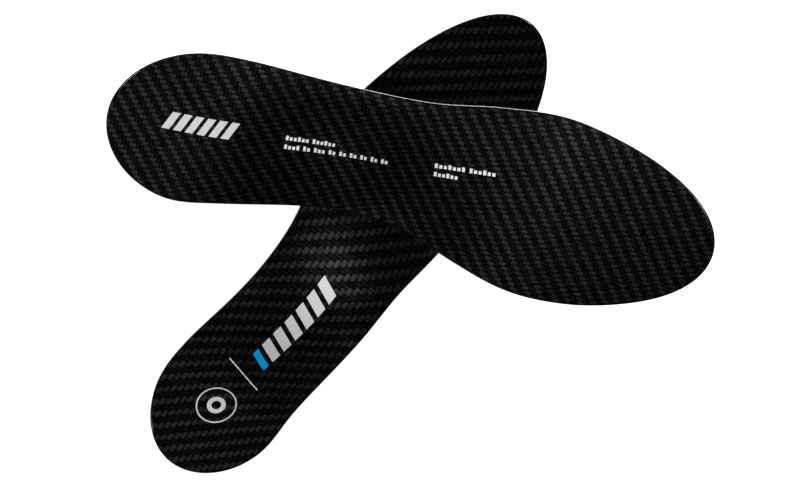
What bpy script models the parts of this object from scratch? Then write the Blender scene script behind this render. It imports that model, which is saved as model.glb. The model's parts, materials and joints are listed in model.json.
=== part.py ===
"""A pair of carbon fibre insoles: stiff foot orthosis plates for the left and the right shoe.

The left insole lies on the ground with its foot side up. The right one is turned over and lies
across it, heel on the ground, so its underside is seen. Each insole is a laminate: a twill ply on
either face, three inner plies, a resin seal round the trimmed edge, and thin printed marks.

An insole's own frame: X from the heel tip to the toe, Z up out of the foot side, and the medial
edge (the big toe's) on -Y for the left foot and on +Y for the right. All sizes are in metres.
"""

import math

import bpy
from mathutils import Matrix, Vector

# Overall sizes of one insole.
INSOLE_LENGTH = 0.2668
BALL_WIDTH = 0.0810
ARCH_RISE_MEDIAL = 0.020
ARCH_RISE_LATERAL = 0.011
# The arch springs from the flat heel and lands on the flat forefoot, as shares of the length.
ARCH_START = 0.12
ARCH_END = 0.74

# The laminate, counted from the underside up.
PLY_THICKNESS = 0.00021
BOND_GAP = 0.00003
PLY_NAMES = (
    "bottom_twill_ply",
    "lower_lengthwise_ply",
    "bias_core_ply",
    "upper_lengthwise_ply",
    "top_twill_ply",
)

# The resin seal round the trimmed edge.
SEAL_WIDTH = 0.0006
SEAL_CLEARANCE = 0.00005
SEAL_CHAMFER = 0.0002
SEAL_SETBACK = 0.00008

# Printed marks. A mark's line runs along its middle: start and end, each as the insole's own X
# and its medial distance.
INK_THICKNESS = 0.00010
INK_CLEARANCE = 0.00025
RING_CENTRE = (0.0362, -0.0015)
RING_RADIUS = 0.0094
RING_WIDTH = 0.0007
CENTRE_RING_RADIUS = 0.0034
CENTRE_RING_WIDTH = 0.0022
DIVIDER_LINE = ((0.0602, -0.0138), (0.0545, 0.0081))
DIVIDER_WIDTH = 0.0006
LEFT_BLOCK_LINE = ((0.0735, -0.0026), (0.1192, -0.0048))
LEFT_ACCENT_LINE = ((0.0670, -0.0023), (0.0708, -0.0025))
LEFT_BLOCK_WIDTH = 0.0098
LEFT_BLOCK_SLANT = -0.0045
RIGHT_BLOCK_LINE = ((0.0247, -0.0007), (0.0533, -0.0029))
RIGHT_BLOCK_WIDTH = 0.0078
RIGHT_BLOCK_SLANT = -0.0040
DASH_LINES = {
    "right_size_line_1": ((0.0751, -0.0050), (0.0963, -0.0065)),
    "right_size_line_2": ((0.0753, -0.0008), (0.1206, -0.0046)),
    "right_note_line_1": ((0.1407, -0.0102), (0.1664, -0.0155)),
    "right_note_line_2": ((0.1414, -0.0063), (0.1515, -0.0084)),
}
DASH_LINE_WIDTH = 0.0021

# The outline at equal steps from heel to toe: how full each half is, and how far its middle
# is shifted to the medial side, both as shares of half the ball width.
FULLNESS = (1.447, 1.283, 0.994, 0.805, 0.719, 0.735, 0.911, 1.089, 1.170, 1.213, 1.258)
MIDDLE = (0.076, 0.030, -0.048, -0.093, -0.131, -0.166, -0.181, -0.189, -0.171, -0.171, -0.171)

# Where the two insoles lie: each heel tip and the heading of each toe.
LEFT_HEEL = (-0.1033, -0.1116)
LEFT_HEADING = math.radians(52.4)
RIGHT_HEEL = (-0.1318, 0.0656)
RIGHT_HEADING = math.radians(-11.6)
RIGHT_GROUND_GAP = 0.0004
SEAL_DROP = 0.0003
CROSSING_CLEARANCE = 0.0005
STEEPEST_LEAN = math.radians(35.0)

# Mesh fineness.
STATIONS = 32
STRIPS = 6
CROSSING_STATIONS = 150
CROSSING_STRIPS = 40
INK_CELL = 0.004
RING_COLUMNS = 40
CENTRE_RING_COLUMNS = 20

LAMINATE_THICKNESS = len(PLY_NAMES) * PLY_THICKNESS + (len(PLY_NAMES) - 1) * BOND_GAP

MEDIAL_SIGN = {"left": -1.0, "right": 1.0}

CARBON_BLACK = (0.012, 0.013, 0.013)
RESIN_GREY = (0.09, 0.09, 0.09)
INK_WHITE = (0.85, 0.85, 0.85)
INK_GREY = (0.55, 0.55, 0.55)
INK_BLUE = (0.0, 0.31, 0.68)


def clear_scene():
    for obj in list(bpy.data.objects):
        bpy.data.objects.remove(obj, do_unlink=True)


def make_material(name, colour, roughness, metallic=0.0):
    material = bpy.data.materials.new(name)
    material.use_nodes = True
    shader = material.node_tree.nodes["Principled BSDF"]
    shader.inputs["Base Color"].default_value = (*colour, 1.0)
    shader.inputs["Roughness"].default_value = roughness
    shader.inputs["Metallic"].default_value = metallic
    return material


def smooth_step(value):
    value = min(max(value, 0.0), 1.0)
    return value * value * (3.0 - 2.0 * value)


def through_points(values, share):
    """A smooth curve through equally spaced values, read at a share of its length."""
    spans = len(values) - 1
    place = min(max(share, 0.0), 1.0) * spans
    first = min(int(place), spans - 1)
    t = place - first
    before = values[max(first - 1, 0)]
    start = values[first]
    end = values[first + 1]
    after = values[min(first + 2, spans)]
    slope_in = 0.5 * (end - before)
    slope_out = 0.5 * (after - start)
    blend = t * t * (3.0 - 2.0 * t)
    ease_in = t * (1.0 - t) ** 2
    ease_out = t * t * (t - 1.0)
    return start + (end - start) * blend + slope_in * ease_in + slope_out * ease_out


def half_width(share):
    """Half the insole's width: the fullness shaped by round ends."""
    round_end = math.sqrt(max(4.0 * share * (1.0 - share), 0.0))
    return 0.5 * BALL_WIDTH * through_points(FULLNESS, share) * round_end


def middle(share):
    return 0.5 * BALL_WIDTH * through_points(MIDDLE, share)


def arch_height(share, across):
    """Height of the underside: across runs from -1 at the lateral edge to 1 at the medial edge."""
    if share <= ARCH_START or share >= ARCH_END:
        return 0.0
    swell = math.sin(math.pi * (share - ARCH_START) / (ARCH_END - ARCH_START)) ** 2
    lift = smooth_step(0.5 * (across + 1.0))
    return swell * (ARCH_RISE_LATERAL + (ARCH_RISE_MEDIAL - ARCH_RISE_LATERAL) * lift)


def station_share(index):
    """Stations lie closer together towards the round ends."""
    return 0.5 * (1.0 - math.cos(math.pi * index / STATIONS))


def surface_point(side, share, across):
    medial = middle(share) + across * half_width(share)
    y = MEDIAL_SIGN[side] * medial
    return Vector((share * INSOLE_LENGTH, y, arch_height(share, across)))


def height_at(side, x, y):
    """Height of the underside at a point of the insole's own plan, or None past its edge seal."""
    share = x / INSOLE_LENGTH
    if share <= 0.0 or share >= 1.0:
        return None
    across = (MEDIAL_SIGN[side] * y - middle(share)) / half_width(share)
    if abs(across) > 1.0 + (SEAL_CLEARANCE + SEAL_WIDTH) / half_width(share):
        return None
    return arch_height(share, across)


def plan_grid(side):
    """Rows of surface points from heel to toe. The first and the last row hold one point each."""
    rows = [[surface_point(side, 0.0, 0.0)]]
    for index in range(1, STATIONS):
        share = station_share(index)
        row = [surface_point(side, share, 2.0 * strip / STRIPS - 1.0) for strip in range(STRIPS + 1)]
        rows.append(row)
    rows.append([surface_point(side, 1.0, 0.0)])
    return rows


def sheet_triangles(rows):
    """Triangles of the grid, as indices into its points in row order."""
    starts = [0]
    for row in rows[:-1]:
        starts.append(starts[-1] + len(row))
    triangles = []
    for index in range(len(rows) - 1):
        here = starts[index]
        there = starts[index + 1]
        if len(rows[index]) == 1:
            triangles += [(here, there + strip, there + strip + 1) for strip in range(STRIPS)]
            continue
        if len(rows[index + 1]) == 1:
            triangles += [(here + strip + 1, here + strip, there) for strip in range(STRIPS)]
            continue
        for strip in range(STRIPS):
            triangles.append((here + strip, there + strip, there + strip + 1))
            triangles.append((here + strip, there + strip + 1, here + strip + 1))
    return triangles


def boundary_edges(triangles):
    """Directed edges that only one triangle uses."""
    edges = set()
    for a, b, c in triangles:
        edges.update(((a, b), (b, c), (c, a)))
    return [edge for edge in sorted(edges) if (edge[1], edge[0]) not in edges]


def facing_up(points, triangles):
    """The triangles, turned where needed so that they all face up in plan."""
    turned = []
    for a, b, c in triangles:
        first = points[b] - points[a]
        second = points[c] - points[a]
        area = first.x * second.y - first.y * second.x
        turned.append((a, b, c) if area > 0.0 else (a, c, b))
    return turned


def thick_sheet(points, triangles, low, high):
    """Vertices and faces of a closed sheet between two heights above the surface points."""
    top_faces = facing_up(points, triangles)
    count = len(points)
    vertices = [point + Vector((0.0, 0.0, low)) for point in points]
    vertices += [point + Vector((0.0, 0.0, high)) for point in points]
    faces = [(c, b, a) for a, b, c in top_faces]
    faces += [(a + count, b + count, c + count) for a, b, c in top_faces]
    for a, b in boundary_edges(top_faces):
        faces.append((a, b, b + count))
        faces.append((a, b + count, a + count))
    return vertices, faces


def add_node(name, vertices, faces, material, parent):
    mesh = bpy.data.meshes.new(name)
    mesh.from_pydata([tuple(vertex) for vertex in vertices], [], faces)
    mesh.update()
    mesh.materials.append(material)
    obj = bpy.data.objects.new(name, mesh)
    obj.parent = parent
    bpy.context.scene.collection.objects.link(obj)
    return obj


def add_plies(side, parent, materials):
    rows = plan_grid(side)
    points = [point for row in rows for point in row]
    triangles = sheet_triangles(rows)
    for index, ply in enumerate(PLY_NAMES):
        low = index * (PLY_THICKNESS + BOND_GAP)
        vertices, faces = thick_sheet(points, triangles, low, low + PLY_THICKNESS)
        add_node(f"{side}_{ply}", vertices, faces, materials["carbon"], parent)


def facet_height(points, triangles, x, y):
    """Height of the faceted underside above a point of the insole's own plan."""
    for a, b, c in triangles:
        first = points[b] - points[a]
        second = points[c] - points[a]
        area = first.x * second.y - first.y * second.x
        away_x = x - points[a].x
        away_y = y - points[a].y
        along_first = (away_x * second.y - away_y * second.x) / area
        along_second = (first.x * away_y - first.y * away_x) / area
        if min(along_first, along_second, 1.0 - along_first - along_second) >= -1e-9:
            return points[a].z + first.z * along_first + second.z * along_second
    raise ValueError("a printed mark reaches past the edge of its insole")


def edge_loop(side):
    """The insole's edge: out along the medial side to the toe and back along the lateral side."""
    loop = [surface_point(side, 0.0, 0.0)]
    loop += [surface_point(side, station_share(index), 1.0) for index in range(1, STATIONS)]
    loop.append(surface_point(side, 1.0, 0.0))
    back = reversed(range(1, STATIONS))
    loop += [surface_point(side, station_share(index), -1.0) for index in back]
    return loop


def outward(loop, index, side):
    """Unit vector in plan that points out of the edge loop at one of its points."""
    along = loop[(index + 1) % len(loop)] - loop[index - 1]
    turn = MEDIAL_SIGN[side]
    return Vector((-turn * along.y, turn * along.x, 0.0)).normalized()


def seal_profile():
    """The seal's section: distance out from the laminate, and height above its underside."""
    inner = SEAL_CLEARANCE
    outer = SEAL_CLEARANCE + SEAL_WIDTH
    low = SEAL_SETBACK
    high = LAMINATE_THICKNESS - SEAL_SETBACK
    return (
        (inner, low),
        (outer - SEAL_CHAMFER, low),
        (outer, low + SEAL_CHAMFER),
        (outer, high - SEAL_CHAMFER),
        (outer - SEAL_CHAMFER, high),
        (inner, high),
    )


def add_edge_seal(side, parent, materials):
    loop = edge_loop(side)
    profile = seal_profile()
    vertices = []
    for index, point in enumerate(loop):
        out = outward(loop, index, side)
        vertices += [point + out * distance + Vector((0.0, 0.0, height)) for distance, height in profile]
    sides = len(profile)
    faces = []
    for index in range(len(loop)):
        here = index * sides
        there = (index + 1) % len(loop) * sides
        for corner in range(sides):
            following = (corner + 1) % sides
            quad = (here + corner, there + corner, there + following, here + following)
            quad = quad if side == "left" else quad[::-1]
            faces.append((quad[0], quad[1], quad[2]))
            faces.append((quad[0], quad[2], quad[3]))
    add_node(f"{side}_edge_seal", vertices, faces, materials["resin"], parent)


def add_ink(name, side, parent, material, columns, rows, place, closed=False):
    """A printed mark: a patch of cells laid on the insole's printed face.

    place turns a cell corner, as shares along and across the mark, into the insole's own X and
    medial distance. A closed mark joins its last column to its first.
    """
    corners = columns if closed else columns + 1
    grid = plan_grid(side)
    facet_points = [point for row in grid for point in row]
    facets = sheet_triangles(grid)
    points = []
    for column in range(corners):
        for row in range(rows + 1):
            x, medial = place(column / columns, row / rows)
            y = MEDIAL_SIGN[side] * medial
            points.append(Vector((x, y, facet_height(facet_points, facets, x, y))))
    triangles = []
    for column in range(columns):
        for row in range(rows):
            a = column * (rows + 1) + row
            b = (column + 1) % corners * (rows + 1) + row
            triangles.append((a, b, b + 1))
            triangles.append((a, b + 1, a + 1))
    if side == "left":
        low = LAMINATE_THICKNESS + INK_CLEARANCE
    else:
        low = -INK_CLEARANCE - INK_THICKNESS
    vertices, faces = thick_sheet(points, triangles, low, low + INK_THICKNESS)
    add_node(name, vertices, faces, material, parent)


def bar(start, end, width, slant=0.0):
    """Places cells in a straight bar between two points, its ends slanted by a distance."""
    along = Vector(end) - Vector(start)
    across = Vector((-along.y, along.x)).normalized() * width
    shear = along.normalized() * slant

    def place(share, part):
        return Vector(start) + along * share + (across + shear) * (part - 0.5)

    return place


def ring(centre, radius, width):
    def place(share, part):
        angle = 2.0 * math.pi * share
        reach = radius + width * (part - 0.5)
        return Vector(centre) + Vector((math.cos(angle), math.sin(angle))) * reach

    return place


def add_bar(name, side, parent, material, line, width, slant=0.0):
    start, end = line
    columns = max(2, math.ceil((Vector(end) - Vector(start)).length / INK_CELL))
    rows = math.ceil(width / INK_CELL)
    add_ink(name, side, parent, material, columns, rows, bar(start, end, width, slant))


def add_left_prints(parent, materials):
    grey = materials["grey_ink"]
    white = materials["white_ink"]
    blue = materials["blue_ink"]
    circle = ring(RING_CENTRE, RING_RADIUS, RING_WIDTH)
    add_ink("left_ring_print", "left", parent, grey, RING_COLUMNS, 1, circle, closed=True)
    circle = ring(RING_CENTRE, CENTRE_RING_RADIUS, CENTRE_RING_WIDTH)
    add_ink("left_centre_print", "left", parent, grey, CENTRE_RING_COLUMNS, 1, circle, closed=True)
    add_bar("left_divider_print", "left", parent, white, DIVIDER_LINE, DIVIDER_WIDTH)
    shape = (LEFT_BLOCK_WIDTH, LEFT_BLOCK_SLANT)
    add_bar("left_block_print", "left", parent, grey, LEFT_BLOCK_LINE, *shape)
    add_bar("left_accent_print", "left", parent, blue, LEFT_ACCENT_LINE, *shape)


def add_right_prints(parent, materials):
    shape = (RIGHT_BLOCK_WIDTH, RIGHT_BLOCK_SLANT)
    add_bar("right_block_print", "right", parent, materials["grey_ink"], RIGHT_BLOCK_LINE, *shape)
    for name, line in DASH_LINES.items():
        add_bar(name, "right", parent, materials["white_ink"], line, DASH_LINE_WIDTH)


def left_frame():
    return Matrix.Translation((*LEFT_HEEL, 0.0)) @ Matrix.Rotation(LEFT_HEADING, 4, "Z")


def right_frame(lean, height):
    """Turned over, leant back so that the toe rises, and headed along its own direction."""
    turned_over = Matrix.Rotation(math.pi, 4, "X")
    leant = Matrix.Rotation(-lean, 4, "Y")
    headed = Matrix.Rotation(RIGHT_HEADING, 4, "Z")
    return Matrix.Translation((*RIGHT_HEEL, height)) @ headed @ leant @ turned_over


def foot_side_points():
    """Points close together over the right insole's foot side, its edge seal included."""
    points = []
    for station in range(1, CROSSING_STATIONS):
        share = station / CROSSING_STATIONS
        reach = 1.0 + (SEAL_CLEARANCE + SEAL_WIDTH) / half_width(share)
        for strip in range(CROSSING_STRIPS + 1):
            across = reach * (2.0 * strip / CROSSING_STRIPS - 1.0)
            point = surface_point("right", share, across)
            points.append(point + Vector((0.0, 0.0, LAMINATE_THICKNESS)))
    return points


def right_height(lean):
    """Lifts the right insole so that its seal, which hangs below its plies, clears the ground."""
    place = right_frame(lean, 0.0)
    face = [point + Vector((0.0, 0.0, LAMINATE_THICKNESS)) for row in plan_grid("right") for point in row]
    return RIGHT_GROUND_GAP + SEAL_DROP - min((place @ point).z for point in face)


def gap_to_left(points, lean):
    """The least height of the right insole's points over the left one where they cross."""
    into_left = left_frame().inverted() @ right_frame(lean, right_height(lean))
    least = INSOLE_LENGTH
    for point in points:
        local = into_left @ point
        below = height_at("left", local.x, local.y)
        if below is not None:
            least = min(least, local.z - below - LAMINATE_THICKNESS)
    return least


def resting_lean():
    """The smallest lean at which the right insole clears the left one."""
    points = foot_side_points()
    low = 0.0
    high = STEEPEST_LEAN
    for _ in range(30):
        trial = 0.5 * (low + high)
        if gap_to_left(points, trial) < CROSSING_CLEARANCE:
            low = trial
        else:
            high = trial
    return high


def add_frame(name):
    frame = bpy.data.objects.new(name, None)
    bpy.context.scene.collection.objects.link(frame)
    return frame


def centre_over_origin(frames):
    """Moves both frames so that the object's box is centred over the origin."""
    bpy.context.view_layer.update()
    corners = []
    for frame in frames:
        for child in frame.children:
            corners += [child.matrix_world @ vertex.co for vertex in child.data.vertices]
    middle_x = 0.5 * (min(corner.x for corner in corners) + max(corner.x for corner in corners))
    middle_y = 0.5 * (min(corner.y for corner in corners) + max(corner.y for corner in corners))
    for frame in frames:
        frame.matrix_world = Matrix.Translation((-middle_x, -middle_y, 0.0)) @ frame.matrix_world
    bpy.context.view_layer.update()


def main():
    clear_scene()
    materials = {
        "carbon": make_material("carbon", CARBON_BLACK, 0.35),
        "resin": make_material("resin", RESIN_GREY, 0.30),
        "white_ink": make_material("white_ink", INK_WHITE, 0.60),
        "grey_ink": make_material("grey_ink", INK_GREY, 0.60),
        "blue_ink": make_material("blue_ink", INK_BLUE, 0.50),
    }
    left = add_frame("left_insole_frame")
    right = add_frame("right_insole_frame")
    for side, frame in (("left", left), ("right", right)):
        add_plies(side, frame, materials)
        add_edge_seal(side, frame, materials)
    add_left_prints(left, materials)
    add_right_prints(right, materials)
    left.matrix_world = left_frame()
    lean = resting_lean()
    right.matrix_world = right_frame(lean, right_height(lean))
    centre_over_origin((left, right))


main()
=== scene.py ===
"""The looks of a pair of carbon fibre insoles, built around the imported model.

Each insole is a thin laminate: a twill ply on either face, three inner plies, a bead of resin
round the trimmed edge, and thin printed marks. Every piece is shaped in the insole's own plan
(X from the heel to the toe, medial distance across), lifted onto the arch, and then laid where
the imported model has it.
"""

import json
import math

import bpy
from mathutils import Matrix, Vector


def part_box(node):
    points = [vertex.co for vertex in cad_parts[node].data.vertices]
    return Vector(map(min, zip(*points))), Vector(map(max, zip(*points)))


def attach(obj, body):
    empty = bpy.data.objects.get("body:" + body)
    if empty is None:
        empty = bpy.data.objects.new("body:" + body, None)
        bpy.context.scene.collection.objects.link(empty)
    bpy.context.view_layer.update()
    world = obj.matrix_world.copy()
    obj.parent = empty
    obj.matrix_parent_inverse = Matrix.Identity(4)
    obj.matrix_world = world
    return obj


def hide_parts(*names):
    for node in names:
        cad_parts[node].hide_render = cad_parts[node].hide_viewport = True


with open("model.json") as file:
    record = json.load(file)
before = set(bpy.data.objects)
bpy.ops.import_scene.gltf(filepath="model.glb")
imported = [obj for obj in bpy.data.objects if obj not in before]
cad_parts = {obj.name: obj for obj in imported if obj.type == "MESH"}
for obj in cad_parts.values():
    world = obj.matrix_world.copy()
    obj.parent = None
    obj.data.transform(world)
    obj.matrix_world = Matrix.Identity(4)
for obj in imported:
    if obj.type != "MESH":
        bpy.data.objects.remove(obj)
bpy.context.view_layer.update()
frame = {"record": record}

bl_info = {
    "name": "Carbon insole pair",
    "version": (1, 0, 0),
    "blender": (4, 5, 0),
    "location": "3D View > Sidebar > Insoles",
    "description": "Lays up a pair of carbon fibre insoles with their edge resin, prints and studio",
    "category": "Object",
}

MM = 0.001

# The laminate, counted from the underside up.
PLY_THICKNESS = 0.21 * MM
BOND_GAP = 0.03 * MM
PLIES = (
    ("bottom_twill_ply", "carbon_twill"),
    ("lower_lengthwise_ply", "carbon_unidirectional"),
    ("bias_core_ply", "carbon_unidirectional"),
    ("upper_lengthwise_ply", "carbon_unidirectional"),
    ("top_twill_ply", "carbon_twill"),
)
LAMINATE_THICKNESS = len(PLIES) * PLY_THICKNESS + (len(PLIES) - 1) * BOND_GAP

# The outline at equal steps from heel to toe: how full each half is, and how far its middle
# is shifted to the medial side, both as shares of half the ball width.
FULLNESS = (1.447, 1.283, 0.994, 0.805, 0.719, 0.735, 0.911, 1.089, 1.170, 1.213, 1.258)
MIDDLE = (0.076, 0.030, -0.048, -0.093, -0.131, -0.166, -0.181, -0.189, -0.171, -0.171, -0.171)

MEDIAL_SIGN = {"left": -1.0, "right": 1.0}
BODIES = {"left": "left_insole", "right": "right_insole"}
LEFT_HEADING = math.radians(52.4)
RIGHT_HEADING = math.radians(-11.6)

# The edge resin's section, and how finely the bead is drawn.
BEAD_SETBACK = 0.04 * MM
BEAD_SQUARENESS = 0.55
BEAD_SEGMENTS = 480
BEAD_SIDES = 20
# The pale band in the edge resin: depths below the printed face where it fades in and out again.
BAND_FADE_IN = (0.14 * MM, 0.22 * MM)
BAND_FADE_OUT = (0.66 * MM, 0.72 * MM)

SMOOTH_ANGLE = math.radians(40.0)
EDGE_SAMPLES = 720

# Printed marks. A mark's line runs along its middle: start and end, each as the insole's own X
# and its medial distance.
INK_FILM = 0.03 * MM
INK_LIFT = 0.02 * MM
RING_CENTRE = (0.0362, -0.0015)
RING_RADIUS = 0.0094
RING_WIDTH = 0.0007
CENTRE_RING_RADIUS = 0.0034
CENTRE_RING_WIDTH = 0.0022
DIVIDER_LINE = ((0.0602, -0.0138), (0.0545, 0.0081))
DIVIDER_WIDTH = 0.0006
LEFT_BLOCK_LINE = ((0.0735, -0.0026), (0.1192, -0.0048))
LEFT_ACCENT_LINE = ((0.0670, -0.0023), (0.0708, -0.0025))
LEFT_BLOCK_WIDTH = 0.0098
LEFT_BLOCK_SLANT = -0.0045
RIGHT_BLOCK_LINE = ((0.0247, -0.0007), (0.0533, -0.0029))
RIGHT_BLOCK_WIDTH = 0.0078
RIGHT_BLOCK_SLANT = -0.0040
BLOCK_STRIPES = 6
BLOCK_ROWS = 3
DASH_LINE_WIDTH = 0.0021
DASH_ROWS = 4
MARK_CELLS = 120
RING_CELLS = 120
CENTRE_RING_CELLS = 60
# Each ink's full and thin colour.
GREY_INK = ((0.74, 0.74, 0.74), (0.62, 0.62, 0.62))
WHITE_INK = ((0.95, 0.95, 0.95), (0.85, 0.85, 0.85))
BLUE_INK = ((0.0, 0.42, 0.92), (0.0, 0.34, 0.80))
# Each line of dashes: its name, start, end, and how many dashes stand in each of its groups.
DASH_LINES = (
    ("right_size_line_1", (0.0751, -0.0050), (0.0963, -0.0065), (6, 6)),
    ("right_size_line_2", (0.0753, -0.0008), (0.1206, -0.0046), (4, 2, 3, 2, 2, 2, 2, 2, 2)),
    ("right_note_line_1", (0.1407, -0.0102), (0.1664, -0.0155), (7, 6)),
    ("right_note_line_2", (0.1414, -0.0063), (0.1515, -0.0084), (6,)),
)

# A twill repeats after four picks, and each float passes over two.
TWILL_REPEAT = 4
FLOAT_SPAN = 2
# Noise cells to a metre: how the tows wander, how their edges fray, and a fibre's length and width.
DRIFT_SCALE = 60.0
FRAY_SCALE = 900.0
FIBRE_LENGTH_SCALE = 260.0
FIBRE_WIDTH_SCALE = 1500.0
TOW_RELIEF = 0.04 * MM

RESIN_BLACK = (0.002, 0.002, 0.002)
FIBRE_GREY = (0.030, 0.031, 0.030)
# Colour of the pale band in the edge resin.
PALE_BAND_RESIN = (0.62, 0.63, 0.63)

# The stage: the floor, where the soft lights hang and how large they are, and the room's light.
FLOOR_RADIUS = 6.0
FLOOR_DROP = 0.6 * MM
KEY_PLACE, KEY_SIZE = (0.20, 1.17, 0.80), 0.9
OVERHEAD_PLACE, OVERHEAD_SIZE = (-0.12, 0.14, 0.84), 0.38
HEEL_SIDE_PLACE, HEEL_SIDE_SIZE = (-0.05, -0.66, 0.84), 0.25
TOE_SIDE_PLACE, TOE_SIDE_SIZE = (-0.52, -0.12, 0.74), 0.30
ROOM_LIGHT = 0.055
SENSOR_WIDTH = 36.0


class InsoleSizes(bpy.types.PropertyGroup):
    """Sizes of one insole."""

    length: bpy.props.FloatProperty(
        name="Length", description="Heel tip to toe tip", default=0.2668, subtype="DISTANCE"
    )
    ball_width: bpy.props.FloatProperty(
        name="Ball width", description="Width across the ball", default=0.0810, subtype="DISTANCE"
    )
    medial_rise: bpy.props.FloatProperty(
        name="Medial arch rise", description="Arch height at the inner edge", default=0.020,
        subtype="DISTANCE",
    )
    lateral_rise: bpy.props.FloatProperty(
        name="Lateral arch rise", description="Arch height at the outer edge", default=0.011,
        subtype="DISTANCE",
    )
    arch_start: bpy.props.FloatProperty(
        name="Arch start", description="Where the arch springs, as a share of length", default=0.12
    )
    arch_end: bpy.props.FloatProperty(
        name="Arch end", description="Where the arch lands, as a share of length", default=0.74
    )
    bead_width: bpy.props.FloatProperty(
        name="Resin bead", description="Width of the edge resin", default=0.0006, subtype="DISTANCE"
    )
    bead_gap: bpy.props.FloatProperty(
        name="Bead gap", description="Gap between plies and bead", default=0.00005,
        subtype="DISTANCE",
    )
    cells_along: bpy.props.IntProperty(
        name="Cells along", description="Mesh cells from heel to toe", default=160
    )
    cells_across: bpy.props.IntProperty(
        name="Cells across", description="Mesh cells from edge to edge", default=48
    )


class ClothFinish(bpy.types.PropertyGroup):
    """The weave and how light or dark its tows are: painted sheen in the lengthwise floats' colour,
    painted shade in the crosswise floats'.
    """

    tow_width: bpy.props.FloatProperty(
        name="Tow width", description="Width of one lengthwise tow", default=0.0020,
        subtype="DISTANCE",
    )
    pick: bpy.props.FloatProperty(
        name="Pick", description="Spacing of the crosswise tows", default=0.0017, subtype="DISTANCE"
    )
    # Painted sheen: the lengthwise floats are the same carbon as the crosswise ones, coloured lighter
    # as if lit.
    warp_sheen_colour: bpy.props.FloatVectorProperty(
        name="Lengthwise tows", description="Colour of the lengthwise floats", size=3,
        default=(0.115, 0.125, 0.118), subtype="COLOR",
    )
    # Painted shade: the crosswise floats are the same carbon as the lengthwise ones, coloured darker as
    # if unlit.
    weft_shade_colour: bpy.props.FloatVectorProperty(
        name="Crosswise tows", description="Colour of the crosswise floats", size=3,
        default=(0.030, 0.033, 0.032), subtype="COLOR",
    )
    gap_colour: bpy.props.FloatVectorProperty(
        name="Gaps", description="Colour of the resin between tows", size=3,
        default=(0.001, 0.001, 0.001), subtype="COLOR",
    )
    roughness: bpy.props.FloatProperty(
        name="Roughness", description="Roughness of the lengthwise floats", default=0.27
    )
    left_coarseness: bpy.props.FloatProperty(
        name="Left coarseness", description="How much coarser the left cloth is", default=1.24
    )
    right_coarseness: bpy.props.FloatProperty(
        name="Right coarseness", description="How much coarser the right cloth is", default=0.95
    )


class Studio(bpy.types.PropertyGroup):
    """Camera and light."""

    distance: bpy.props.FloatProperty(
        name="Camera distance", description="From the camera to its aim", default=0.6283,
        subtype="DISTANCE",
    )
    elevation: bpy.props.FloatProperty(
        name="Elevation", description="Camera height above the ground plane",
        default=math.radians(63.43), subtype="ANGLE",
    )
    azimuth: bpy.props.FloatProperty(
        name="Azimuth", description="Camera direction round the pair",
        default=math.radians(124.08), subtype="ANGLE",
    )
    roll: bpy.props.FloatProperty(
        name="Roll", description="Camera roll from level", default=math.radians(147.79),
        subtype="ANGLE",
    )
    aim: bpy.props.FloatVectorProperty(
        name="Aim", description="Point the camera looks at", size=3,
        default=(0.0057, 0.0044, 0.0), subtype="XYZ",
    )
    lens: bpy.props.FloatProperty(name="Lens", description="Focal length in mm", default=60.71)
    key_power: bpy.props.FloatProperty(
        name="Key light", description="Power of the soft key light", default=30.0, subtype="POWER"
    )
    overhead_power: bpy.props.FloatProperty(
        name="Overhead light", description="Power of the sheen from above", default=0.46,
        subtype="POWER",
    )
    toe_side_power: bpy.props.FloatProperty(
        name="Toe side light", description="Power of the sheen on the arches", default=0.08,
        subtype="POWER",
    )
    heel_side_power: bpy.props.FloatProperty(
        name="Heel side light", description="Power of the sheen on the lower heel", default=0.06,
        subtype="POWER",
    )


# ---------------------------------------------------------------- the insole's shape


def smooth_step(value):
    value = min(max(value, 0.0), 1.0)
    return value * value * (3.0 - 2.0 * value)


def through_points(values, share):
    """A smooth curve through equally spaced values, read at a share of its length."""
    spans = len(values) - 1
    place = min(max(share, 0.0), 1.0) * spans
    first = min(int(place), spans - 1)
    t = place - first
    before = values[max(first - 1, 0)]
    start = values[first]
    end = values[first + 1]
    after = values[min(first + 2, spans)]
    blend = t * t * (3.0 - 2.0 * t)
    ease_in = 0.5 * (end - before) * t * (1.0 - t) ** 2
    ease_out = 0.5 * (after - start) * t * t * (t - 1.0)
    return start + (end - start) * blend + ease_in + ease_out


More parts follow.
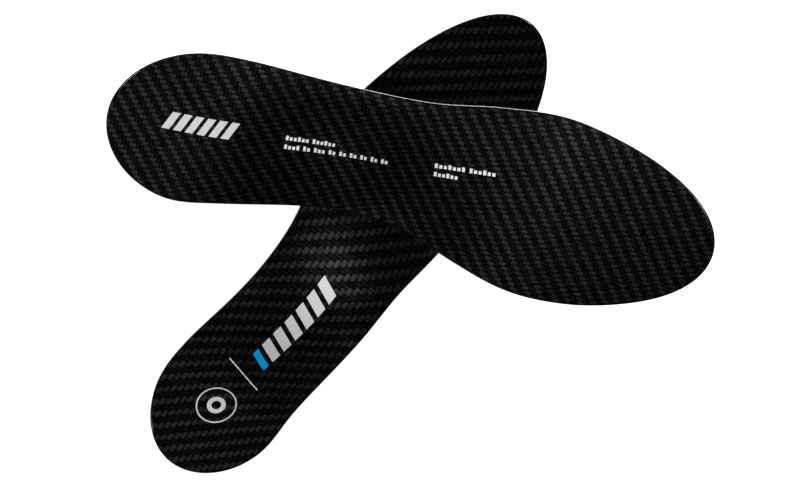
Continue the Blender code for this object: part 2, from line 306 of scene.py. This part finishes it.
class Plan:
    """The shape of one insole in its own frame."""

    def __init__(self, side, sizes):
        self.side = side
        self.sizes = sizes
        self.sign = MEDIAL_SIGN[side]

    def half_width(self, share):
        round_end = math.sqrt(max(4.0 * share * (1.0 - share), 0.0))
        return 0.5 * self.sizes.ball_width * through_points(FULLNESS, share) * round_end

    def middle(self, share):
        return 0.5 * self.sizes.ball_width * through_points(MIDDLE, share)

    def arch_height(self, share, across):
        """Height of the underside: across runs from -1 at the lateral edge to 1 at the medial."""
        sizes = self.sizes
        if share <= sizes.arch_start or share >= sizes.arch_end:
            return 0.0
        along = (share - sizes.arch_start) / (sizes.arch_end - sizes.arch_start)
        lift = smooth_step(0.5 * (across + 1.0))
        rise = sizes.lateral_rise + (sizes.medial_rise - sizes.lateral_rise) * lift
        return math.sin(math.pi * along) ** 2 * rise

    def point(self, share, across):
        medial = self.middle(share) + across * self.half_width(share)
        height = self.arch_height(share, across)
        return Vector((share * self.sizes.length, self.sign * medial, height))

    def point_over(self, x, medial):
        """The point of the underside above a place in the plan."""
        share = x / self.sizes.length
        across = (medial - self.middle(share)) / self.half_width(share)
        return Vector((x, self.sign * medial, self.arch_height(share, across)))

    def edge_point(self, turn):
        """A point of the outline: turn runs once round, out by the medial edge, back by the lateral."""
        share = 0.5 * (1.0 - math.cos(turn))
        return self.point(share, 1.0 if math.sin(turn) >= 0.0 else -1.0)

    def edge_outward(self, turn):
        """Unit vector in plan that points out of the outline."""
        step = 0.004
        along = self.edge_point(turn + step) - self.edge_point(turn - step)
        return Vector((-self.sign * along.y, self.sign * along.x, 0.0)).normalized()


def turned_over_mount():
    """The direction that the right insole's underside faces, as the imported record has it."""
    mounts = frame["record"]["mounts"]
    return Vector(next(mount["axis"] for mount in mounts if mount["name"] == "turned_heel_underside"))


def insole_turn(side):
    """How an insole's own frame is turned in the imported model's."""
    if side == "left":
        return Matrix.Rotation(LEFT_HEADING, 4, "Z")
    lean = math.acos(turned_over_mount().z)
    headed = Matrix.Rotation(RIGHT_HEADING, 4, "Z")
    return headed @ Matrix.Rotation(-lean, 4, "Y") @ Matrix.Rotation(math.pi, 4, "X")


def insole_place(plan):
    """The insole's frame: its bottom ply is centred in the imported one's box, at the same height."""
    turn = insole_turn(plan.side)
    corners = []
    for index in range(EDGE_SAMPLES + 1):
        point = plan.edge_point(math.tau * index / EDGE_SAMPLES)
        corners += [turn @ point, turn @ (point + Vector((0.0, 0.0, PLY_THICKNESS)))]
    low = Vector([min(corner[axis] for corner in corners) for axis in range(3)])
    high = Vector([max(corner[axis] for corner in corners) for axis in range(3)])
    packed_low, packed_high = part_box(f"{plan.side}_bottom_twill_ply")
    shift = 0.5 * (packed_low + packed_high - low - high)
    shift.z = packed_low.z - low.z
    return Matrix.Translation(shift) @ turn


# ---------------------------------------------------------------- modelling by hand


def start_mesh(add, name, **options):
    """Adds a primitive with nothing else selected, and leaves it active and named."""
    bpy.ops.object.select_all(action="DESELECT")
    add(**options)
    piece = bpy.context.active_object
    piece.name = name
    piece.data.name = name
    return piece


def write_pattern(piece, places):
    """Stores each vertex's place on the cloth, in metres, as the piece's UV map."""
    layer = piece.data.uv_layers.active or piece.data.uv_layers.new(name="UVMap")
    for loop in piece.data.loops:
        layer.data[loop.index].uv = places[loop.vertex_index]


def close_sheet(piece, thickness, low):
    """Merges the pointed ends, gives the sheet its thickness and turns its faces outwards."""
    bpy.ops.object.mode_set(mode="EDIT")
    bpy.ops.mesh.select_all(action="SELECT")
    bpy.ops.mesh.remove_doubles(threshold=0.000001)
    bpy.ops.transform.translate(value=(0.0, 0.0, low))
    bpy.ops.mesh.extrude_region_move(TRANSFORM_OT_translate={"value": (0.0, 0.0, thickness)})
    bpy.ops.mesh.select_all(action="SELECT")
    bpy.ops.mesh.normals_make_consistent(inside=False)
    bpy.ops.object.mode_set(mode="OBJECT")


def lay(piece, plan, material, node):
    """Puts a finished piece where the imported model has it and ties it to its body."""
    piece.data.transform(insole_place(plan))
    piece.data.materials.clear()
    piece.data.materials.append(material)
    bpy.ops.object.shade_smooth_by_angle(angle=SMOOTH_ANGLE)
    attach(piece, BODIES[plan.side])
    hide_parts(node)


def lay_up_ply(plan, index, material):
    """One ply: a grid drawn out to the outline, lifted onto the arch and given its thickness."""
    ply, slot = PLIES[index]
    sizes = plan.sizes
    piece = start_mesh(
        bpy.ops.mesh.primitive_grid_add,
        f"{plan.side}_{ply}_cured",
        x_subdivisions=sizes.cells_along,
        y_subdivisions=sizes.cells_across,
        size=2.0,
    )
    places = []
    for vertex in piece.data.vertices:
        share = 0.5 * (1.0 - math.cos(0.5 * math.pi * (vertex.co.x + 1.0)))
        vertex.co = plan.point(share, vertex.co.y)
        places.append((vertex.co.x, plan.sign * vertex.co.y))
    write_pattern(piece, places)
    close_sheet(piece, PLY_THICKNESS, index * (PLY_THICKNESS + BOND_GAP))
    lay(piece, plan, material, f"{plan.side}_{ply}")
    return piece


def run_edge_bead(plan, material):
    """The edge resin: a ring drawn out along the outline, with a rounded section."""
    sizes = plan.sizes
    major, minor = 1.0, 0.25
    piece = start_mesh(
        bpy.ops.mesh.primitive_torus_add,
        f"{plan.side}_edge_resin_bead",
        major_segments=BEAD_SEGMENTS,
        minor_segments=BEAD_SIDES,
        major_radius=major,
        minor_radius=minor,
    )
    middle_out = sizes.bead_gap + 0.5 * sizes.bead_width
    half_height = 0.5 * LAMINATE_THICKNESS - BEAD_SETBACK
    places = []
    for vertex in piece.data.vertices:
        turn = math.atan2(vertex.co.y, vertex.co.x)
        reach = (math.hypot(vertex.co.x, vertex.co.y) - major) / minor
        rise = vertex.co.z / minor
        out = math.copysign(abs(reach) ** BEAD_SQUARENESS, reach) * 0.5 * sizes.bead_width
        up = math.copysign(abs(rise) ** BEAD_SQUARENESS, rise) * half_height
        height = 0.5 * LAMINATE_THICKNESS + up
        point = plan.edge_point(turn)
        vertex.co = point + plan.edge_outward(turn) * (middle_out + out) + Vector((0.0, 0.0, height))
        places.append((turn * sizes.length / math.pi, height))
    write_pattern(piece, places)
    bpy.ops.object.mode_set(mode="EDIT")
    bpy.ops.mesh.select_all(action="SELECT")
    bpy.ops.mesh.normals_make_consistent(inside=False)
    bpy.ops.object.mode_set(mode="OBJECT")
    lay(piece, plan, material, f"{plan.side}_edge_seal")


# ---------------------------------------------------------------- printed marks


def bar(start, end, width, slant=0.0):
    """Places a mark's cells in a straight bar between two points, its ends slanted."""
    along = Vector(end) - Vector(start)
    across = Vector((-along.y, along.x)).normalized() * width
    shear = along.normalized() * slant
    return lambda share, part: Vector(start) + along * share + (across + shear) * (part - 0.5)


def ring(centre, radius, width):
    """Places a mark's cells in a ring: once round the centre, and across the ring's width."""

    def place(share, part):
        angle = math.tau * share
        reach = radius + width * (part - 0.5)
        return Vector(centre) + Vector((math.cos(angle), math.sin(angle))) * reach

    return place


def stripe_gaps(stripes):
    """Cells left open in a block of plain stripes: every third column, right across."""
    columns = range(2, 3 * stripes - 1, 3)
    return {(column, row) for column in columns for row in range(BLOCK_ROWS)}


def dash_gaps(groups):
    """Cells left open in a line of upright dashes that stand in groups, a few of them taller."""
    gaps = set()
    column = 0
    for dashes in groups:
        for dash in range(dashes):
            if dash % 3:
                gaps.update({(column, 0), (column + 1, 0)})
            gaps.update({(column + 2, row) for row in range(DASH_ROWS)})
            column += 3
        gaps.update({(column + extra, row) for extra in (0, 1) for row in range(DASH_ROWS)})
        column += 2
    return gaps


def print_mark(plan, name, place, columns, rows, gaps, material):
    """One printed mark: a grid bent to the mark's shape and laid just over the printed face."""
    fine = max(1, round(MARK_CELLS / columns))
    piece = start_mesh(
        bpy.ops.mesh.primitive_grid_add,
        f"{name}_ink",
        x_subdivisions=columns * fine,
        y_subdivisions=rows,
        size=2.0,
    )
    bpy.ops.object.mode_set(mode="EDIT")
    bpy.ops.mesh.select_all(action="DESELECT")
    bpy.ops.object.mode_set(mode="OBJECT")
    for face in piece.data.polygons:
        column = int(0.5 * (face.center.x + 1.0) * columns)
        row = int(0.5 * (face.center.y + 1.0) * rows)
        face.select = (column, row) in gaps
    if gaps:
        bpy.ops.object.mode_set(mode="EDIT")
        bpy.ops.mesh.select_mode(type="FACE")
        bpy.ops.mesh.delete(type="FACE")
        bpy.ops.object.mode_set(mode="OBJECT")
    places = []
    for vertex in piece.data.vertices:
        x, medial = place(0.5 * (vertex.co.x + 1.0), 0.5 * (vertex.co.y + 1.0))
        vertex.co = plan.point_over(x, medial)
        places.append((x, medial))
    write_pattern(piece, places)
    low = LAMINATE_THICKNESS + INK_LIFT if plan.side == "left" else -INK_LIFT - INK_FILM
    close_sheet(piece, INK_FILM, low)
    lay(piece, plan, material, name)


# ---------------------------------------------------------------- shader sums


class Wire:
    """A node's output that Python sums can use."""

    def __init__(self, paint, socket):
        self.paint = paint
        self.socket = socket

    def maths(self, operation, *values):
        return self.paint.node("ShaderNodeMath", {"operation": operation}, dict(enumerate(values)))

    def __add__(self, other):
        return self.maths("ADD", self, other)

    def __radd__(self, other):
        return self.maths("ADD", other, self)

    def __sub__(self, other):
        return self.maths("SUBTRACT", self, other)

    def __rsub__(self, other):
        return self.maths("SUBTRACT", other, self)

    def __mul__(self, other):
        return self.maths("MULTIPLY", self, other)

    def __rmul__(self, other):
        return self.maths("MULTIPLY", other, self)

    def __truediv__(self, other):
        return self.maths("DIVIDE", self, other)

    def __mod__(self, other):
        return self.maths("FLOORED_MODULO", self, other)

    def __pow__(self, other):
        return self.maths("POWER", self, other)

    def __lt__(self, other):
        return self.maths("LESS_THAN", self, other)

    def __abs__(self):
        return self.maths("ABSOLUTE", self)

    def floor(self):
        return self.maths("FLOOR", self)


class Paint:
    """One material and its nodes."""

    def __init__(self, name, **fixed):
        self.material = bpy.data.materials.new(name)
        self.material.use_nodes = True
        self.tree = self.material.node_tree
        self.shader = self.tree.nodes["Principled BSDF"]
        for socket, value in fixed.items():
            self.shader.inputs[socket.replace("_", " ")].default_value = value

    def feed(self, socket, value):
        if isinstance(value, Wire):
            self.tree.links.new(value.socket, socket)
        else:
            socket.default_value = value

    def node(self, kind, settings=None, sockets=None, output=0):
        """Adds a node: its settings first, then its sockets, and returns one of its outputs."""
        made = self.tree.nodes.new(kind)
        for key, value in (settings or {}).items():
            setattr(made, key, value)
        for key, value in (sockets or {}).items():
            self.feed(made.inputs[key], value)
        return Wire(self, made.outputs[output])

    def set(self, **sockets):
        for socket, value in sockets.items():
            self.feed(self.shader.inputs[socket.replace("_", " ")], value)

    def pattern(self):
        """The two places of the piece's UV map, in metres."""
        uv = self.node("ShaderNodeUVMap", {"uv_map": "UVMap"})
        split = self.tree.nodes.new("ShaderNodeSeparateXYZ")
        self.tree.links.new(uv.socket, split.inputs[0])
        return Wire(self, split.outputs[0]), Wire(self, split.outputs[1])

    def place(self, x, y, z=0.0):
        return self.node("ShaderNodeCombineXYZ", None, {0: x, 1: y, 2: z})

    def noise(self, place, detail=2.0):
        return self.node("ShaderNodeTexNoise", None, {"Vector": place, "Scale": 1.0, "Detail": detail})

    def strands(self, along, across, low, high):
        """Fine light and dark fibres: noise drawn out along one direction."""
        return self.ramp(self.noise(self.place(along, across), 3.0), low, high)

    def scatter(self, place):
        return self.node("ShaderNodeTexWhiteNoise", {"noise_dimensions": "3D"}, {"Vector": place})

    def blend(self, amount, first, second):
        colours = {0: amount, 6: self.colour(first), 7: self.colour(second)}
        return self.node("ShaderNodeMix", {"data_type": "RGBA"}, colours, 2)

    def colour(self, value):
        return value if isinstance(value, Wire) else (*value, 1.0)

    def ramp(self, value, low, high):
        """0 below low, 1 above high, and a smooth rise between."""
        settings = {"interpolation_type": "SMOOTHSTEP"}
        sockets = {"Value": value, "From Min": low, "From Max": high}
        return self.node("ShaderNodeMapRange", settings, sockets)

    def bump(self, height, distance, strength):
        sockets = {"Height": height, "Distance": distance, "Strength": strength}
        self.set(Normal=self.node("ShaderNodeBump", None, sockets))


def crown(place, power):
    """1 along the middle of a tow or float and 0 at its edges."""
    return 1.0 - abs(2.0 * place - 1.0) ** power


def twill_paint(side, finish):
    """Two by two twill under resin: the lengthwise floats' colour carries a painted sheen, the
    crosswise floats' a painted shade.
    """
    paint = Paint(f"{side}_carbon_twill", Metallic=1.0)
    coarseness = finish.left_coarseness if side == "left" else finish.right_coarseness
    along, across = paint.pattern()
    drift = paint.noise(paint.place(along * DRIFT_SCALE, across * DRIFT_SCALE)) - 0.5
    fray = paint.noise(paint.place(along * FRAY_SCALE, across * FRAY_SCALE)) - 0.5
    pick = along / (finish.pick * coarseness) + drift * 0.35 + fray * 0.30
    tow = across / (finish.tow_width * coarseness) + drift * 0.40 + fray * 0.22
    tow_number = tow.floor()
    pick_number = pick.floor()
    warp_over = (pick_number - tow_number) % TWILL_REPEAT < FLOAT_SPAN - 0.5
    warp_run = pick - tow_number
    warp_along = (warp_run % TWILL_REPEAT) / FLOAT_SPAN
    weft_run = tow - pick_number + 3.0
    weft_along = (weft_run % TWILL_REPEAT) / FLOAT_SPAN
    warp_crown = crown(tow % 1.0, 3.0) * crown(warp_along, 4.0)
    weft_crown = crown(pick % 1.0, 2.5) * crown(weft_along, 6.0)
    warp_strands = paint.strands(along * FIBRE_LENGTH_SCALE, across * FIBRE_WIDTH_SCALE, 0.36, 0.66)
    weft_strands = paint.strands(along * FIBRE_WIDTH_SCALE, across * FIBRE_LENGTH_SCALE, 0.36, 0.66)
    warp_tone = paint.scatter(paint.place(tow_number, (warp_run / TWILL_REPEAT).floor()))
    weft_tone = paint.scatter(paint.place(pick_number, (weft_run / TWILL_REPEAT).floor(), 7.0))
    # Each float's colour fades into the gap colour towards its edges and ends, following its crown:
    # dark resin in the gaps, and painted shade on the float's rounded sides.
    warp_light = paint.ramp(warp_crown, 0.0, 0.75) * (0.30 + 0.75 * warp_strands + 0.30 * warp_tone)
    weft_light = paint.ramp(weft_crown, 0.0, 0.75) * (0.20 + 0.80 * weft_strands + 0.30 * weft_tone)
    # Painted sheen and painted shade: the lengthwise floats take the lit colour, the crosswise ones the
    # shaded colour of one carbon.
    warp_sheen_colour = paint.blend(warp_light, finish.gap_colour, finish.warp_sheen_colour)
    weft_shade_colour = paint.blend(weft_light, finish.gap_colour, finish.weft_shade_colour)
    paint.set(Base_Color=paint.blend(warp_over, weft_shade_colour, warp_sheen_colour))
    height = warp_over * warp_crown + (1.0 - warp_over) * weft_crown * 0.8
    paint.set(Roughness=finish.roughness + 0.05 * (1.0 - warp_over) + 0.08 * warp_strands)
    paint.bump(height, TOW_RELIEF, 0.4)
    return paint.material


def lengthwise_paint():
    """Straight fibres under resin, for the inner plies."""
    paint = Paint("carbon_unidirectional", Specular_IOR_Level=0.25)
    along, across = paint.pattern()
    strands = paint.noise(paint.place(along * 40.0, across * 2500.0), 3.0)
    paint.set(Base_Color=paint.blend(strands, RESIN_BLACK, FIBRE_GREY))
    paint.set(Roughness=0.4 + 0.2 * strands)
    paint.bump(strands, 0.00002, 0.5)
    return paint.material


def bead_paint(side):
    """Cured resin over the cut plies: pale in a band just under the printed face, dark below it and
    right at the face.
    """
    paint = Paint(f"{side}_edge_resin", Specular_IOR_Level=0.2)
    along, height = paint.pattern()
    band = abs(2.0 * ((height / (PLY_THICKNESS + BOND_GAP)) % 1.0) - 1.0)
    grain = paint.noise(paint.place(along * 900.0, height * 6000.0), 3.0)
    depth = LAMINATE_THICKNESS - height if side == "left" else 1.0 * height
    pale = paint.ramp(depth, *BAND_FADE_IN) * (1.0 - paint.ramp(depth, *BAND_FADE_OUT))
    # A pale band in the resin's colour, the same all round the edge, just under the printed face.
    pale_band_tone = pale * (0.60 + 0.35 * grain + 0.20 * band)
    paint.set(Base_Color=paint.blend(pale_band_tone, RESIN_BLACK, PALE_BAND_RESIN))
    paint.set(Roughness=0.45 + 0.3 * grain)
    paint.bump(grain, 0.00003, 0.5)
    return paint.material


def ink_paint(name, colour, shade):
    """Screen ink: a little uneven, with the cloth's relief showing faintly through it."""
    paint = Paint(name, Specular_IOR_Level=0.3)
    along, across = paint.pattern()
    speckle = paint.noise(paint.place(along * 2500.0, across * 2500.0), 3.0)
    relief = paint.noise(paint.place(along * 500.0, across * 450.0))
    tone = paint.ramp(0.6 * speckle + 0.4 * relief, 0.25, 0.6)
    paint.set(Base_Color=paint.blend(tone, shade, colour))
    paint.set(Roughness=0.5 + 0.2 * speckle)
    paint.bump(relief, 0.00004, 0.4)
    return paint.material


# ---------------------------------------------------------------- operators


def plans(context):
    return [Plan(side, context.scene.insole_sizes) for side in BODIES]


class INSOLE_OT_lay_plies(bpy.types.Operator):
    """Lay up the five plies of either insole"""

    bl_idname = "insole.lay_plies"
    bl_label = "Lay up the plies"

    def execute(self, context):
        inner = lengthwise_paint()
        for plan in plans(context):
            twill = twill_paint(plan.side, context.scene.insole_cloth)
            for index, (_, slot) in enumerate(PLIES):
                lay_up_ply(plan, index, twill if slot == "carbon_twill" else inner)
        return {"FINISHED"}


class INSOLE_OT_run_edge_beads(bpy.types.Operator):
    """Run the resin bead round either insole's edge"""

    bl_idname = "insole.run_edge_beads"
    bl_label = "Run the edge resin"

    def execute(self, context):
        for plan in plans(context):
            run_edge_bead(plan, bead_paint(plan.side))
        return {"FINISHED"}


class INSOLE_OT_print_marks(bpy.types.Operator):
    """Print the marks on the face of either insole that shows"""

    bl_idname = "insole.print_marks"
    bl_label = "Print the marks"

    def execute(self, context):
        left, right = plans(context)
        grey = ink_paint("grey_ink", *GREY_INK)
        white = ink_paint("white_ink", *WHITE_INK)
        blue = ink_paint("blue_ink", *BLUE_INK)
        circle = ring(RING_CENTRE, RING_RADIUS, RING_WIDTH)
        print_mark(left, "left_ring_print", circle, RING_CELLS, 1, set(), grey)
        circle = ring(RING_CENTRE, CENTRE_RING_RADIUS, CENTRE_RING_WIDTH)
        print_mark(left, "left_centre_print", circle, CENTRE_RING_CELLS, 1, set(), grey)
        divider = bar(*DIVIDER_LINE, DIVIDER_WIDTH)
        print_mark(left, "left_divider_print", divider, 3, 1, set(), white)
        gaps = stripe_gaps(BLOCK_STRIPES)
        columns = 3 * BLOCK_STRIPES - 1
        block = bar(*LEFT_BLOCK_LINE, LEFT_BLOCK_WIDTH, LEFT_BLOCK_SLANT)
        print_mark(left, "left_block_print", block, columns, BLOCK_ROWS, gaps, grey)
        accent = bar(*LEFT_ACCENT_LINE, LEFT_BLOCK_WIDTH, LEFT_BLOCK_SLANT)
        print_mark(left, "left_accent_print", accent, 2, BLOCK_ROWS, set(), blue)
        block = bar(*RIGHT_BLOCK_LINE, RIGHT_BLOCK_WIDTH, RIGHT_BLOCK_SLANT)
        print_mark(right, "right_block_print", block, columns, BLOCK_ROWS, gaps, grey)
        for name, start, end, groups in DASH_LINES:
            columns = 3 * sum(groups) + 2 * len(groups) - 3
            dashes = bar(start, end, DASH_LINE_WIDTH)
            print_mark(right, name, dashes, columns, DASH_ROWS, dash_gaps(groups), white)
        return {"FINISHED"}


class INSOLE_OT_set_stage(bpy.types.Operator):
    """Set the pale floor, the soft lights and the camera"""

    bl_idname = "insole.set_stage"
    bl_label = "Set the stage"

    def execute(self, context):
        studio = context.scene.insole_studio
        floor = start_mesh(
            bpy.ops.mesh.primitive_circle_add, "floor", vertices=128, radius=FLOOR_RADIUS,
            fill_type="NGON", location=(0.0, 0.0, -FLOOR_DROP),
        )
        floor.data.transform(floor.matrix_world)
        floor.matrix_world = Matrix.Identity(4)
        paper = Paint("floor_paper", Roughness=0.9, Specular_IOR_Level=0.1, Emission_Strength=1.0)
        paper.set(Base_Color=(0.92, 0.92, 0.92, 1.0), Emission_Color=(1.0, 1.0, 1.0, 1.0))
        floor.data.materials.append(paper.material)
        key = soft_light("key", KEY_PLACE, KEY_SIZE, studio.key_power)
        key.visible_glossy = False
        soft_light("overhead", OVERHEAD_PLACE, OVERHEAD_SIZE, studio.overhead_power)
        soft_light("heel_side", HEEL_SIDE_PLACE, HEEL_SIDE_SIZE, studio.heel_side_power)
        soft_light("toe_side", TOE_SIDE_PLACE, TOE_SIDE_SIZE, studio.toe_side_power)
        light_the_room(context.scene)
        place_camera(context.scene, studio)
        context.scene.view_settings.view_transform = "Standard"
        return {"FINISHED"}


def soft_light(name, place, size, power):
    """A square light that faces the middle of the stage."""
    light = bpy.data.lights.new(name, "AREA")
    light.size = size
    light.energy = power
    lamp = bpy.data.objects.new(name, light)
    lamp.location = place
    lamp.rotation_euler = Vector(place).to_track_quat("Z", "Y").to_euler()
    bpy.context.scene.collection.objects.link(lamp)
    return lamp


def light_the_room(scene):
    """A white room to look at that itself gives only a little light."""
    world = bpy.data.worlds.new("room")
    scene.world = world
    world.use_nodes = True
    nodes = world.node_tree.nodes
    links = world.node_tree.links
    background = nodes["Background"]
    background.inputs["Color"].default_value = (1.0, 1.0, 1.0, 1.0)
    path = nodes.new("ShaderNodeLightPath")
    strength = nodes.new("ShaderNodeMapRange")
    strength.inputs["To Min"].default_value = ROOM_LIGHT
    strength.inputs["To Max"].default_value = 1.0
    links.new(path.outputs["Is Camera Ray"], strength.inputs["Value"])
    links.new(strength.outputs["Result"], background.inputs["Strength"])


def place_camera(scene, studio):
    camera = bpy.data.objects.new("camera", bpy.data.cameras.new("camera"))
    camera.data.lens = studio.lens
    camera.data.sensor_width = SENSOR_WIDTH
    flat = math.cos(studio.elevation)
    away = Vector((
        flat * math.cos(studio.azimuth), flat * math.sin(studio.azimuth), math.sin(studio.elevation)
    ))
    level_right = Vector((0.0, 0.0, 1.0)).cross(away).normalized()
    level = Matrix((level_right, away.cross(level_right), away)).transposed().to_4x4()
    camera.matrix_world = (
        Matrix.Translation(Vector(studio.aim) + away * studio.distance)
        @ level
        @ Matrix.Rotation(studio.roll, 4, "Z")
    )
    scene.collection.objects.link(camera)
    scene.camera = camera


class INSOLE_PT_panel(bpy.types.Panel):
    """Steps that build the insole pair"""

    bl_label = "Insoles"
    bl_space_type = "VIEW_3D"
    bl_region_type = "UI"
    bl_category = "Insoles"

    def draw(self, context):
        scene = context.scene
        for operator in OPERATORS:
            self.layout.operator(operator.bl_idname)
        for group in (scene.insole_sizes, scene.insole_cloth, scene.insole_studio):
            box = self.layout.box()
            for name in group.__annotations__:
                box.prop(group, name)


OPERATORS = (INSOLE_OT_set_stage, INSOLE_OT_lay_plies, INSOLE_OT_run_edge_beads, INSOLE_OT_print_marks)
GROUPS = {"insole_sizes": InsoleSizes, "insole_cloth": ClothFinish, "insole_studio": Studio}


def register():
    for group in GROUPS.values():
        bpy.utils.register_class(group)
    for operator in OPERATORS:
        bpy.utils.register_class(operator)
    bpy.utils.register_class(INSOLE_PT_panel)
    for name, group in GROUPS.items():
        setattr(bpy.types.Scene, name, bpy.props.PointerProperty(type=group))


def unregister():
    for name in GROUPS:
        delattr(bpy.types.Scene, name)
    bpy.utils.unregister_class(INSOLE_PT_panel)
    for operator in reversed(OPERATORS):
        bpy.utils.unregister_class(operator)
    for group in GROUPS.values():
        bpy.utils.unregister_class(group)


def main():
    register()
    bpy.ops.insole.set_stage()
    bpy.ops.insole.lay_plies()
    bpy.ops.insole.run_edge_beads()
    bpy.ops.insole.print_marks()


if __name__ == "__main__":
    main()
